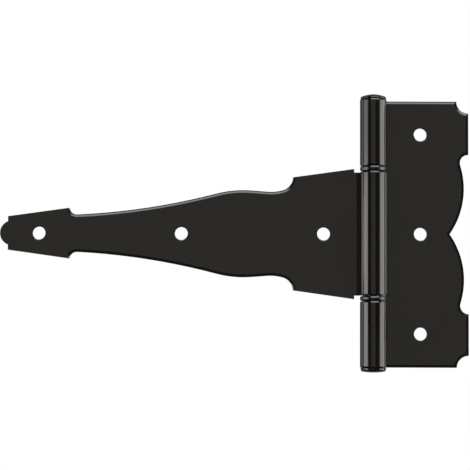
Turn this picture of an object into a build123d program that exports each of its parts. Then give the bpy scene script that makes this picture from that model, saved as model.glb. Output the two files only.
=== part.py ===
from build123d import *
import os
from math import asin, degrees, sqrt

# Ornamental tee hinge: a long tapered strap leaf and a tall post leaf, each cut from plate and rolled round
# one pin, with a bearing washer at each end of the strap's knuckle.
# Millimetres. The origin is at the post leaf's middle screw hole, on the plane that both leaves are screwed
# against. +X points from the pin over the post leaf, so the strap reaches along -X. +Z runs up the pin.
# The barrel stands proud at the front, which faces -Y.

# Plate, pin and the fits between them
PLATE = 3.2                      # thickness of both leaves
PIN_DIAMETER = 8.0
PIN_CLEARANCE = 0.05             # radial, between the pin and every bore on it
SEAM_GAP = 0.4                   # between a knuckle's rolled-in end and the face of its own leaf
RIM_BEVEL_HEIGHT = 0.65          # bevel round both ends of every knuckle and washer
RIM_BEVEL_DEPTH = 0.24

# Barrel, from the middle outwards
STRAP_SHOULDER = 1.95            # from each end of the strap's knuckle to the strap's edge beside it
END_PLAY = 0.15                  # between the strap's knuckle and each washer
WASHER_THICKNESS = 3.15
WASHER_HUB = 11.0                # diameter of the flat that the washer bears with on each face
WASHER_RELIEF = 0.5              # by which each face falls away from that flat to the rim
KNUCKLE_RISE = 0.45              # of the top knuckle above the edge of its leaf

# Pin heads
HEAD_DIAMETER = 13.9
HEAD_UNDERCUT = 0.45             # bevel beneath a head, next to its seat
HEAD_WALL = 0.2                  # straight side above that bevel
DOME_RIM = 0.95                  # rounding of the rim of the head at the top
DOME_CROWN = 1.2                 # rise of its middle above that rounding
BUTTON_RIM = 1.6                 # the same for the formed head at the bottom
BUTTON_CROWN = 0.45

# Screw holes and the rolled edges left by the cutting die
SCREW_HOLE = 7.1
HOLE_ROLL_WIDTH = 0.4            # measured across the front face, as the edges' is
HOLE_ROLL_DEPTH = 0.1
EDGE_ROLL_WIDTH = 1.4
EDGE_ROLL_DEPTH = 0.22           # of the gentle slope, where it meets the lip
EDGE_LIP = 0.77                  # 45 degree bevel that turns a rolled edge down into the side of the plate

# Post leaf
LEAF_HEIGHT = 145.2
PIN_TO_LEAF_HOLES = 25.9
PIN_TO_LEAF_EDGE = 52.1
LEAF_END_TO_HOLE = 18.2
CORNER_BITE = 6.5                # radius of the quarter round taken from each outer corner
SIDE_BITE = 4.6                  # radius of the bite above each lobe
SIDE_BITE_HEIGHT = 38.9          # of its centre, from the middle of the leaf
LOBE_RADIUS = 43.2
LOBE_HEIGHT = 24.8               # of the lobe's fullest point, from the middle of the leaf
NOTCH_CLEARANCE = 0.5            # from the strap's knuckle to the edge of the notch beside it

# Strap leaf, a straight taper with an ornamental cut along each side
STRAP_LENGTH = 203.2             # from the pin to the tip
STRAP_ROOT_WIDTH = 71.0
STRAP_TIP_WIDTH = 18.3           # across the shoulders of the nose
NOSE_LENGTH = 4.35               # the round of the nose, beyond its shoulders
NOSE_WIDTH = 12.8                # across that round
STRAP_STEP = 2.9                 # from the barrel to the step where the taper begins
CREASE_WIDTH = 2.1               # over which the strap's face falls away beside the barrel
CREASE_RADIUS = 6.8
PIN_TO_STRAP_HOLE = 26.8
TIP_TO_STRAP_HOLE = 21.25
TIP_TO_BITE = 41.9               # to the centre of the small bite that starts the cut
TIP_BITE = 4.2                   # its radius
SWEEP_RADIUS = 370.0             # long hollow after it
PIN_TO_BULGE = 70.55
BULGE_RADIUS = 57.8
BULGE_INSET = 3.29               # from the taper's edge to the bulge's crest
FALL_ANGLE = 4.3                 # slope of the straight fall after the bulge
FALL_LENGTH = 8.9
WAIST_RADIUS = 24.0
WAIST_ANGLE = 15.7               # slope at which the waist turns into the bite
ROOT_BITE = 7.6                  # radius of the bite that ends the cut

# Worked out from the sizes above
PIN_RADIUS = PIN_DIAMETER / 2
BORE = PIN_RADIUS + PIN_CLEARANCE
BARREL = BORE + PLATE
PIN_X = -PIN_TO_LEAF_HOLES
PIN_AXIS = Plane(origin=(PIN_X, -BARREL, 0))
LEAF_TOP = LEAF_HEIGHT / 2
BARREL_TOP = LEAF_TOP + KNUCKLE_RISE
STRAP_KNUCKLE = STRAP_ROOT_WIDTH - 2 * STRAP_SHOULDER
WASHER_BOTTOM = STRAP_KNUCKLE / 2 + END_PLAY
NOTCH_TOP = WASHER_BOTTOM + WASHER_THICKNESS
EDGE_SLOPE = EDGE_ROLL_DEPTH / (EDGE_ROLL_WIDTH - EDGE_LIP + EDGE_ROLL_DEPTH)
SEAM_ANGLE = degrees(asin((BORE - SEAM_GAP) / BARREL))
ON_BASE = (Align.CENTER, Align.CENTER, Align.MIN)


def arc(centre, start, end):
    """The shorter arc about a centre from one point to another."""
    halfway = (start + end) / 2 - centre
    middle = centre + halfway.normalized() * (start - centre).length
    return ThreePointArc(start, middle, end)


def toward(centre, other, distance):
    """The point at a distance from a centre in the direction of another point."""
    return centre + (other - centre).normalized() * distance


def plate(half_outline):
    """A plate on the mounting plane, from the upper half of an outline that is mirrored about mid-height."""
    upper = Curve() + half_outline
    return extrude(Plane.XZ * make_face(upper + mirror(upper, Plane.XZ)), PLATE)


def front_edges(blank, low_x, high_x):
    """The front face of a plate and those of its edges whose middles lie between two places along X."""
    front = blank.faces().sort_by(Axis.Y)[0]
    return front, [edge for edge in front.edges() if low_x < edge.center().X < high_x]


def slope_edges(blank, low_x, high_x):
    """Let the front face slope gently away along its edges, as a cutting die draws it down."""
    front, edges = front_edges(blank, low_x, high_x)
    return chamfer(edges, EDGE_ROLL_WIDTH, EDGE_ROLL_WIDTH * EDGE_SLOPE, reference=front)


def roll_edges(blank, low_x, high_x):
    """The same slope, which turns down over a lip before it reaches the side of the plate."""
    edges = front_edges(blank, low_x, high_x)[1]
    lipped = chamfer(edges, EDGE_LIP)
    front, edges = front_edges(lipped, low_x, high_x)
    return chamfer(edges, EDGE_ROLL_WIDTH - EDGE_LIP, EDGE_ROLL_DEPTH * sqrt(2), reference=front)


def screw_holes(places):
    """Cutters for screw holes at places in the leaf's plane, rolled over where they meet the front."""
    hole = Cylinder(SCREW_HOLE / 2, PLATE, align=ON_BASE)
    roll = Pos(Z=PLATE - HOLE_ROLL_DEPTH) * Cone(
        SCREW_HOLE / 2,
        SCREW_HOLE / 2 + HOLE_ROLL_WIDTH,
        HOLE_ROLL_DEPTH,
        align=ON_BASE,
    )
    return [Plane.XZ * Pos(*place) * (hole + roll) for place in places]


def bevel_rims(tube):
    """Bevel the outer rims of a knuckle, whose outside is its largest face."""
    outside = tube.faces().filter_by(GeomType.CYLINDER).sort_by(SortBy.AREA)[-1]
    rims = outside.edges().filter_by(GeomType.CIRCLE)
    return chamfer(rims, RIM_BEVEL_HEIGHT, RIM_BEVEL_DEPTH, reference=outside)


def knuckle(bottom, top):
    """A plate end rolled round the pin from a leaf on the +X side: it leaves the mounting plane at the back,
    goes round the front and stops short of its own leaf, where the seam stays open."""
    turn = 270 + SEAM_ANGLE
    outer = CenterArc((0, 0), BARREL, 90, turn)
    inner = CenterArc((0, 0), BORE, 90, turn)
    section = make_face([outer, Line(outer @ 1, inner @ 1), inner, Line(inner @ 0, outer @ 0)])
    roll = extrude(PIN_AXIS * Pos(Z=bottom) * section, top - bottom)
    return bevel_rims(roll)


def post_leaf():
    """Tall leaf: bitten corners, a bite and a bowed lobe on each half of its free edge, and two knuckles
    with a notch between them for the strap's knuckle. The notch's front edge lies as far behind the pin's
    axis as the bore reaches, so that is where it comes nearest to the strap's knuckle."""
    edge_x = PIN_X + PIN_TO_LEAF_EDGE
    notch_x = PIN_X + sqrt((BARREL + NOTCH_CLEARANCE) ** 2 - BORE**2)
    corner = Vector(edge_x, LEAF_TOP)
    bite = Vector(edge_x, SIDE_BITE_HEIGHT)
    reach = sqrt((LOBE_RADIUS + SIDE_BITE) ** 2 - (SIDE_BITE_HEIGHT - LOBE_HEIGHT) ** 2)
    lobe = Vector(edge_x - reach, LOBE_HEIGHT)
    cusp = Vector(lobe.X + sqrt(LOBE_RADIUS**2 - LOBE_HEIGHT**2), 0)
    tab = Vector(PIN_X, LEAF_TOP)
    corner_start = corner - Vector(CORNER_BITE, 0)
    corner_end = corner - Vector(0, CORNER_BITE)
    bite_start = bite + Vector(0, SIDE_BITE)
    bite_end = toward(bite, lobe, SIDE_BITE)
    notch_inner = Vector(notch_x, NOTCH_TOP)
    tab_bottom = Vector(PIN_X, NOTCH_TOP)
    blank = plate([
        Line((notch_x, 0), notch_inner),
        Line(notch_inner, tab_bottom),
        Line(tab_bottom, tab),
        Line(tab, corner_start),
        arc(corner, corner_start, corner_end),
        Line(corner_end, bite_start),
        arc(bite, bite_start, bite_end),
        arc(lobe, bite_end, cusp),
    ])
    ends_rolled = roll_edges(blank, notch_x + PLATE / 2, corner_start.X)
    rolled = slope_edges(ends_rolled, corner_start.X, edge_x + PLATE)
    pitch = LEAF_TOP - LEAF_END_TO_HOLE
    leaf = rolled - screw_holes([(0, height) for height in (-pitch, 0, pitch)])
    return leaf + knuckle(NOTCH_TOP, BARREL_TOP) + knuckle(-LEAF_TOP, -NOTCH_TOP)


def strap_cut(taper_height):
    """The ornamental cut along the strap's upper edge, from the tip towards the pin: a small round bite, a
    long hollow, a bulge, a straight fall, a waist and a round bite, each tangent to the next. Returns its
    edges and its first and last points, which lie on the taper's edge."""
    taper = Vector(1, taper_height(1) - taper_height(0)).normalized()
    outward = Vector(-taper.Y, taper.X)
    bite_x = PIN_X - STRAP_LENGTH + TIP_TO_BITE
    bite = Vector(bite_x, taper_height(bite_x))
    first = bite - taper * TIP_BITE
    crest_x = PIN_X - PIN_TO_BULGE
    bulge = Vector(crest_x, taper_height(crest_x) - BULGE_INSET - BULGE_RADIUS)

    # The hollow's circle holds the bite's circle and touches the bulge's from outside.
    to_bite = SWEEP_RADIUS - TIP_BITE
    to_bulge = SWEEP_RADIUS + BULGE_RADIUS
    span = bulge - bite
    along = (to_bite**2 - to_bulge**2 + span.length**2) / (2 * span.length)
    across = Vector(-span.Y, span.X).normalized()
    hollow = bite + span.normalized() * along + across * sqrt(to_bite**2 - along**2)
    bite_end = toward(bite, hollow, -TIP_BITE)
    hollow_end = toward(bulge, hollow, BULGE_RADIUS)

    # The fall, the waist and the last bite follow from their slopes.
    fall_normal = Vector(0, 1).rotate(Axis.Z, -FALL_ANGLE)
    fall_start = bulge + fall_normal * BULGE_RADIUS
    fall_end = fall_start + fall_normal.rotate(Axis.Z, -90) * FALL_LENGTH
    waist = fall_end + fall_normal * WAIST_RADIUS
    waist_normal = Vector(0, 1).rotate(Axis.Z, WAIST_ANGLE)
    waist_end = waist - waist_normal * WAIST_RADIUS
    root_bite = waist_end + waist_normal * ROOT_BITE

    # The last bite ends where it meets the taper's edge again.
    depth = (Vector(root_bite.X, taper_height(root_bite.X)) - root_bite).dot(outward)
    last = root_bite + outward * depth + taper * sqrt(ROOT_BITE**2 - depth**2)
    edges = [
        arc(bite, first, bite_end),
        arc(hollow, bite_end, hollow_end),
        arc(bulge, hollow_end, fall_start),
        Line(fall_start, fall_end),
        arc(waist, fall_end, waist_end),
        arc(root_bite, waist_end, last),
    ]
    return edges, first, last


def crease():
    """Cutter along the barrel: the strap's face bends away from the front there, tangent to the flat, and the
    cut ends out of sight beneath the knuckle."""
    start = Vector(PIN_X - BARREL - CREASE_WIDTH, -PLATE)
    end = Vector(PIN_X - sqrt(BARREL**2 - BORE**2), -PLATE)
    centre = start + Vector(0, CREASE_RADIUS)
    run = end.X - start.X
    bottom = Vector(end.X, centre.Y - sqrt(CREASE_RADIUS**2 - run**2))
    section = make_face([Line(start, end), Line(end, bottom), arc(centre, bottom, start)])
    return extrude(Pos(Z=-STRAP_KNUCKLE / 2) * section, STRAP_KNUCKLE)


def strap_leaf():
    """Long leaf: a straight taper with a round nose and an ornamental cut along each side, stepped in at its
    root to the length of its one knuckle."""
    shoulder_x = PIN_X - STRAP_LENGTH + NOSE_LENGTH
    root_x = PIN_X - BARREL - STRAP_STEP
    slope = (STRAP_ROOT_WIDTH - STRAP_TIP_WIDTH) / 2 / (root_x - shoulder_x)

    def taper_height(x):
        return STRAP_TIP_WIDTH / 2 + slope * (x - shoulder_x)

    cut, first, last = strap_cut(taper_height)
    half_nose = NOSE_WIDTH / 2
    nose_radius = (half_nose**2 + NOSE_LENGTH**2) / (2 * NOSE_LENGTH)
    tip = Vector(PIN_X - STRAP_LENGTH, 0)
    nose = tip + Vector(nose_radius, 0)
    nose_end = Vector(shoulder_x, half_nose)
    shoulder = Vector(shoulder_x, STRAP_TIP_WIDTH / 2)
    root = Vector(root_x, STRAP_ROOT_WIDTH / 2)
    neck = Vector(root_x, STRAP_KNUCKLE / 2)
    neck_end = Vector(PIN_X, STRAP_KNUCKLE / 2)
    blank = plate([
        arc(nose, tip, nose_end),
        Line(nose_end, shoulder),
        Line(shoulder, first),
        *cut,
        Line(last, root),
        Line(root, neck),
        Line(neck, neck_end),
        Line(neck_end, (PIN_X, 0)),
    ])
    rolled = roll_edges(blank, first.X, last.X)
    last_hole = PIN_X - PIN_TO_STRAP_HOLE
    first_hole = PIN_X - STRAP_LENGTH + TIP_TO_STRAP_HOLE
    middle_hole = (first_hole + last_hole) / 2
    leaf = rolled - screw_holes([(x, 0) for x in (first_hole, middle_hole, last_hole)]) - crease()
    own_side = Plane.YZ.offset(PIN_X)
    return leaf + mirror(knuckle(-STRAP_KNUCKLE / 2, STRAP_KNUCKLE / 2), own_side)


def pin_head(rim, crown):
    """A head that sits on z = 0: bevelled beneath, with a short straight side, a rounded rim and a low crown
    tangent to the rim."""
    radius = HEAD_DIAMETER / 2
    wall_top = HEAD_UNDERCUT + HEAD_WALL
    height = wall_top + rim + crown
    crown_radius = ((rim + crown) ** 2 - rim**2 + (radius - rim) ** 2) / (2 * crown)
    rim_centre = Vector(radius - rim, wall_top)
    crown_centre = Vector(0, height - crown_radius)
    seat = Vector(radius - HEAD_UNDERCUT, 0)
    wall = Vector(radius, HEAD_UNDERCUT)
    rim_start = Vector(radius, wall_top)
    rim_end = toward(crown_centre, rim_centre, crown_radius)
    top = Vector(0, height)
    profile = make_face([
        Line((0, 0), seat),
        Line(seat, wall),
        Line(wall, rim_start),
        arc(rim_centre, rim_start, rim_end),
        arc(crown_centre, rim_end, top),
        Line(top, (0, 0)),
    ])
    return revolve(Plane.XZ * profile, Axis.Z)


def hinge_pin():
    """Pin through the whole barrel, held by a low dome on top and a flatter button below."""
    shank = Pos(Z=-LEAF_TOP) * Cylinder(PIN_RADIUS, LEAF_TOP + BARREL_TOP, align=ON_BASE)
    dome = Pos(Z=BARREL_TOP) * pin_head(DOME_RIM, DOME_CROWN)
    button = Pos(Z=-LEAF_TOP) * mirror(pin_head(BUTTON_RIM, BUTTON_CROWN), Plane.XY)
    return PIN_AXIS * (shank + dome + button)


def washer(bottom):
    """Bearing washer on the pin, as wide as the barrel. Its faces fall away outside the flats that it bears
    with, so a narrow groove stays open beside each knuckle."""
    lower = [
        (BORE, 0),
        (WASHER_HUB / 2, 0),
        (BARREL - RIM_BEVEL_DEPTH, WASHER_RELIEF),
        (BARREL, WASHER_RELIEF + RIM_BEVEL_HEIGHT),
    ]
    upper = [(radius, WASHER_THICKNESS - height) for radius, height in reversed(lower)]
    profile = make_face(Polyline(*lower, *upper, close=True))
    return PIN_AXIS * Pos(Z=bottom) * revolve(Plane.XZ * profile, Axis.Z)


PIECES = {
    "strap_leaf": strap_leaf(),
    "post_leaf": post_leaf(),
    "hinge_pin": hinge_pin(),
    "upper_washer": washer(WASHER_BOTTOM),
    "lower_washer": washer(-NOTCH_TOP),
}

os.makedirs("parts", exist_ok=True)
for name, piece in PIECES.items():
    export_step(piece, f"parts/{name}.step")
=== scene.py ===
import bpy
from math import cos, radians, sin
from mathutils import Matrix, Vector


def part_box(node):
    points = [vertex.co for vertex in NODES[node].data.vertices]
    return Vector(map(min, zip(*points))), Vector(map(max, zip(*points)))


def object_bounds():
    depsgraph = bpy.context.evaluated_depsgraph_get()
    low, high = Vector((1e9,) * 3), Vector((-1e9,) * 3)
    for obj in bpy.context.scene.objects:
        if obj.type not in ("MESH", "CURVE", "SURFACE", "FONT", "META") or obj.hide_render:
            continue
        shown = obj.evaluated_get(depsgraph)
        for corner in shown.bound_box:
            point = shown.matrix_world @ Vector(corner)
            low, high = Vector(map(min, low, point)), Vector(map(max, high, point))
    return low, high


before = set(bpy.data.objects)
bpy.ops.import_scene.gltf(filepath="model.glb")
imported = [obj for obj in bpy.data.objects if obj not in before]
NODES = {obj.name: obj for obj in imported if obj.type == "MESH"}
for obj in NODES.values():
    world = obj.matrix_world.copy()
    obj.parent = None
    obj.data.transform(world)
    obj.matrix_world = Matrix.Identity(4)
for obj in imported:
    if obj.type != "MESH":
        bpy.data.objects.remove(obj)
CAD_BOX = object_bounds()

# Looks of the black tee hinge. Metres, in the part's own frame: the camera stands in front, towards -Y, and
# +Z runs up the pin.
MM = 0.001
UP = Vector((0, 0, 1))

# The photograph's view of the hinge, whose picture is square
PICTURE = 470                                 # pixels along each side
PIXELS_PER_METRE = 1835.7                     # at the point that the camera looks at
LOOK_AT = Vector((-100.97, -3.2, -0.8)) * MM
VIEW_DISTANCE = 1.148
VIEW_AZIMUTH = 0.29                           # degrees, as the elevation and the roll are
VIEW_ELEVATION = -3.15
VIEW_ROLL = -0.2
SENSOR = 36.0                                 # millimetres, as the lens is

# Patterns in the finishes
PEEL = 1.6 * MM                               # from crest to crest of the enamel's orange peel
PEEL_DEPTH = 0.006 * MM
FLOW = 22 * MM                                # across a patch where the enamel flowed out thinner
WAX = 3 * MM                                  # across a patch of the nylon's waxy sheen

# Studio: radiance is given against white, which is 1
ROOM = 0.02                                   # dim room all round
MIRRORED_WHITE = 0.2                          # of the white backdrop, as the hinge mirrors it
FLOOR_DROP = 0.12                             # from the lowest point of the hinge to the floor
FLOOR_REACH = 1.5                             # from the floor's middle to each of its sides
FLOOR_NEAR = 0.25                             # from its middle to where it starts to fade into the backdrop
FLOOR_FAR = 0.65                              # from its middle to where it has faded
SIDE_DISTANCE = 1.0                           # from the barrel to the lights beside it and behind it
SIDE_HEIGHT = 1.1                             # of each side's light and of the rear panels
LEFT_SPLIT = 0.122                            # above the barrel's middle, where the left light turns weaker
LEFT_TINT = "#fff8f3"
CARD_RISE = 0.065                             # from the middle of the view up to the front card's
STRIP_RISE = 0.055                            # from the barrel's middle up to the rear strip's


def linear(hex_code):
    """The linear RGBA of an sRGB colour written as a hex code."""
    channels = [int(hex_code[i:i + 2], 16) / 255 for i in (1, 3, 5)]
    return [c / 12.92 if c <= 0.04045 else ((c + 0.055) / 1.055) ** 2.4 for c in channels] + [1.0]


def add(tree, kind, inputs=None, **settings):
    """Adds a node: settings are its own properties, and each input takes a value or another node's output."""
    node = tree.nodes.new(kind)
    for name, value in settings.items():
        setattr(node, name, value)
    for name, value in (inputs or {}).items():
        if isinstance(value, bpy.types.NodeSocket):
            tree.links.new(value, node.inputs[name])
        else:
            node.inputs[name].default_value = value
    return node


def material(name):
    """A new material with an empty node tree."""
    made = bpy.data.materials.new(name)
    made.use_nodes = True
    made.node_tree.nodes.clear()
    return made


def black_enamel():
    """Black enamel baked on steel plate. It flows out glossy over the metal, with a slight orange peel, so
    soft lights show in it as clear bands, and its colour is a warm black that is nowhere quite even."""
    made = material("black_enamel")
    tree = made.node_tree
    place = add(tree, "ShaderNodeTexCoord").outputs["Object"]
    peel = add(tree, "ShaderNodeTexNoise", {"Vector": place, "Scale": 1 / PEEL, "Detail": 1.0})
    flow = add(tree, "ShaderNodeTexNoise", {"Vector": place, "Scale": 1 / FLOW, "Detail": 3.0})
    tone = add(tree, "ShaderNodeMix", {
        "Factor": flow.outputs["Fac"],
        "A": linear("#0b0a09"),
        "B": linear("#110f0d"),
    }, data_type="RGBA")
    gloss = add(tree, "ShaderNodeMapRange", {
        "Value": flow.outputs["Fac"],
        "From Min": 0.3,
        "From Max": 0.7,
        "To Min": 0.12,
        "To Max": 0.16,
    })
    surface = add(tree, "ShaderNodeBump", {
        "Height": peel.outputs["Fac"],
        "Strength": 1.0,
        "Distance": PEEL_DEPTH,
    })
    shader = add(tree, "ShaderNodeBsdfPrincipled", {
        "Base Color": tone.outputs["Result"],
        "Roughness": gloss.outputs["Result"],
        "Normal": surface.outputs["Normal"],
        "Metallic": 0.0,
        "IOR": 1.5,
    })
    add(tree, "ShaderNodeOutputMaterial", {"Surface": shader.outputs["BSDF"]})
    return made


def black_nylon():
    """Black nylon, turned and a little waxy: blacker than the enamel, with softer lights in it."""
    made = material("black_nylon")
    tree = made.node_tree
    place = add(tree, "ShaderNodeTexCoord").outputs["Object"]
    wax = add(tree, "ShaderNodeTexNoise", {"Vector": place, "Scale": 1 / WAX, "Detail": 2.0})
    gloss = add(tree, "ShaderNodeMapRange", {"Value": wax.outputs["Fac"], "To Min": 0.16, "To Max": 0.22})
    tone = add(tree, "ShaderNodeMix", {
        "Factor": wax.outputs["Fac"],
        "A": linear("#0c0c0c"),
        "B": linear("#121211"),
    }, data_type="RGBA")
    shader = add(tree, "ShaderNodeBsdfPrincipled", {
        "Base Color": tone.outputs["Result"],
        "Roughness": gloss.outputs["Result"],
        "Metallic": 0.0,
        "IOR": 1.53,
    })
    add(tree, "ShaderNodeOutputMaterial", {"Surface": shader.outputs["BSDF"]})
    return made


def dress(names, finish):
    """Gives CAD nodes a finish."""
    for name in names:
        mesh = NODES[name].data
        mesh.materials.clear()
        mesh.materials.append(finish)


def softbox(name, aim, azimuth, distance, size, radiance, elevation=0, tint="#ffffff"):
    """A flat light that faces the point it is aimed at, from an azimuth (0 is straight in front, 90 is over
    +X), elevation and distance. Its power is 4 times its area for a radiance of 1."""
    a, e = radians(azimuth), radians(elevation)
    toward = Vector((sin(a) * cos(e), -cos(a) * cos(e), sin(e)))
    lamp = bpy.data.lights.new(name, "AREA")
    lamp.shape = "RECTANGLE"
    lamp.size, lamp.size_y = size
    lamp.energy = 4 * size[0] * size[1] * radiance
    lamp.color = linear(tint)[:3]
    box = bpy.data.objects.new(name, lamp)
    box.location = aim + toward * distance
    box.rotation_euler = toward.to_track_quat("Z", "Y").to_euler()
    box.visible_camera = False
    bpy.context.scene.collection.objects.link(box)
    return box


def shine_past_leaves(box):
    """Lets a light through the two leaves, so that it lights the barrel's sides close to their plates too."""
    passed = bpy.data.collections.new(box.name)
    for leaf in ("strap_leaf", "post_leaf"):
        passed.objects.link(NODES[leaf])
    for member in passed.collection_objects:
        member.light_linking.link_state = "EXCLUDE"
    box.light_linking.blocker_collection = passed


def shine_on(box, name):
    """Lets a light fall on one CAD node alone."""
    lit = bpy.data.collections.new(name)
    lit.objects.link(NODES[name])
    box.light_linking.receiver_collection = lit


def lights():
    """Softboxes on both sides and above draw the bright bands along the barrel and the edges, a dim card in
    front gives the flat faces their grey, and dim lights behind carry the bands on round the barrel."""
    pin_low, pin_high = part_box("hinge_pin")
    barrel = (pin_low + pin_high) / 2
    half = SIDE_HEIGHT / 2
    softbox("left softbox, lower", barrel + UP * (LEFT_SPLIT - half) / 2, azimuth=-71,
            distance=SIDE_DISTANCE, size=(0.69, half + LEFT_SPLIT), radiance=3.9, tint=LEFT_TINT)
    softbox("left softbox, upper", barrel + UP * (LEFT_SPLIT + half) / 2, azimuth=-71,
            distance=SIDE_DISTANCE, size=(0.69, half - LEFT_SPLIT), radiance=2.2, tint=LEFT_TINT)
    softbox("right softbox", barrel, azimuth=83.2,
            distance=SIDE_DISTANCE, size=(1.04, SIDE_HEIGHT), radiance=3.35, tint="#fffdfa")
    softbox("top softbox", barrel, azimuth=14, elevation=42,
            distance=1.1, size=(1.3, 0.55), radiance=4.3)
    softbox("front card", LOOK_AT + UP * CARD_RISE, azimuth=0,
            distance=1.15, size=(0.78, 0.57), radiance=0.355, tint="#fffaf0")
    rear_left = softbox("rear left panel", barrel, azimuth=-112,
                        distance=SIDE_DISTANCE, size=(0.50, SIDE_HEIGHT), radiance=0.6)
    rear_right = softbox("rear right panel", barrel, azimuth=126,
                         distance=SIDE_DISTANCE, size=(0.32, SIDE_HEIGHT), radiance=0.5)
    strip = softbox("rear right strip", barrel + UP * STRIP_RISE, azimuth=145,
                    distance=SIDE_DISTANCE, size=(0.26, 0.45), radiance=0.6)
    for box in (rear_left, rear_right, strip):
        shine_past_leaves(box)
    # The strap's knuckle stays light a little further round than the post leaf's do
    shine_on(strip, "strap_leaf")


def white_studio():
    """World: plain white for the camera and for rays that pass through something. A mirrored ray finds a
    faint share of that white behind the hinge, which fades out beside it, and all the rest is a dim room."""
    world = bpy.data.worlds.new("white studio")
    world.use_nodes = True
    tree = world.node_tree
    tree.nodes.clear()
    direction = add(tree, "ShaderNodeTexCoord").outputs["Generated"]
    toward = add(tree, "ShaderNodeSeparateXYZ", {"Vector": direction})
    behind = add(tree, "ShaderNodeMapRange", {
        "Value": toward.outputs["Y"],
        "From Min": -0.15,
        "From Max": 0.1,
        "To Max": MIRRORED_WHITE,
    }, interpolation_type="SMOOTHSTEP")
    rays = add(tree, "ShaderNodeLightPath").outputs
    mirrored = add(tree, "ShaderNodeMath", {
        0: rays["Is Glossy Ray"],
        1: behind.outputs["Result"],
    }, operation="MULTIPLY")
    direct = add(tree, "ShaderNodeMath", {
        0: rays["Is Camera Ray"],
        1: rays["Is Transmission Ray"],
    }, operation="MAXIMUM")
    seen = add(tree, "ShaderNodeMath", {0: direct.outputs[0], 1: mirrored.outputs[0]}, operation="MAXIMUM")
    white = linear("#ffffff")
    room = add(tree, "ShaderNodeBackground", {"Color": white, "Strength": ROOM})
    plain = add(tree, "ShaderNodeBackground", {"Color": white, "Strength": 1.0})
    mixed = add(tree, "ShaderNodeMixShader", {0: seen.outputs[0], 1: room.outputs[0], 2: plain.outputs[0]})
    add(tree, "ShaderNodeOutputWorld", {"Surface": mixed.outputs[0]})
    bpy.context.scene.world = world


def pale_floor():
    """A plain pale floor below the hinge, which fades into the white backdrop with distance."""
    low, high = CAD_BOX
    centre = (low + high) / 2
    centre.z = low.z - FLOOR_DROP
    corners = [centre + Vector((x, y, 0)) * FLOOR_REACH for x, y in ((-1, -1), (1, -1), (1, 1), (-1, 1))]
    mesh = bpy.data.meshes.new("floor")
    mesh.from_pydata(corners, [], [(0, 1, 2, 3)])
    floor = bpy.data.objects.new("floor", mesh)
    bpy.context.scene.collection.objects.link(floor)
    made = material("pale_floor")
    tree = made.node_tree
    place = add(tree, "ShaderNodeTexCoord").outputs["Object"]
    away = add(tree, "ShaderNodeVectorMath", {0: place, 1: centre}, operation="DISTANCE")
    fade = add(tree, "ShaderNodeMapRange", {
        "Value": away.outputs["Value"],
        "From Min": FLOOR_NEAR,
        "From Max": FLOOR_FAR,
    }, interpolation_type="SMOOTHSTEP")
    mirrored = add(tree, "ShaderNodeLightPath").outputs["Is Glossy Ray"]
    unseen = add(tree, "ShaderNodeMath", {0: fade.outputs["Result"], 1: mirrored}, operation="MAXIMUM")
    matt = add(tree, "ShaderNodeBsdfDiffuse", {"Color": linear("#f0f0ee")})
    clear = add(tree, "ShaderNodeBsdfTransparent")
    mixed = add(tree, "ShaderNodeMixShader", {
        0: unseen.outputs[0],
        1: matt.outputs[0],
        2: clear.outputs[0],
    })
    add(tree, "ShaderNodeOutputMaterial", {"Surface": mixed.outputs[0]})
    mesh.materials.append(made)


def camera():
    """The photograph's camera: azimuth turns it about the vertical, elevation lifts it and roll turns the
    picture. The lens makes the hinge as large as it is there."""
    a, e, r = radians(VIEW_AZIMUTH), radians(VIEW_ELEVATION), radians(VIEW_ROLL)
    forward = Vector((-sin(a) * cos(e), cos(a) * cos(e), -sin(e)))
    level = Vector((cos(a), sin(a), 0))
    upward = level.cross(forward)
    right = level * cos(r) - upward * sin(r)
    up = level * sin(r) + upward * cos(r)
    data = bpy.data.cameras.new("camera")
    data.sensor_width = SENSOR
    data.lens = SENSOR * PIXELS_PER_METRE * VIEW_DISTANCE / PICTURE
    made = bpy.data.objects.new("camera", data)
    turn = Matrix((right, up, -forward)).transposed().to_4x4()
    made.matrix_world = Matrix.Translation(LOOK_AT - forward * VIEW_DISTANCE) @ turn
    bpy.context.scene.collection.objects.link(made)
    bpy.context.scene.camera = made


dress(["strap_leaf", "post_leaf", "hinge_pin"], black_enamel())
dress(["upper_washer", "lower_washer"], black_nylon())
camera()
white_studio()
pale_floor()
lights()
bpy.context.scene.view_settings.view_transform = "Standard"
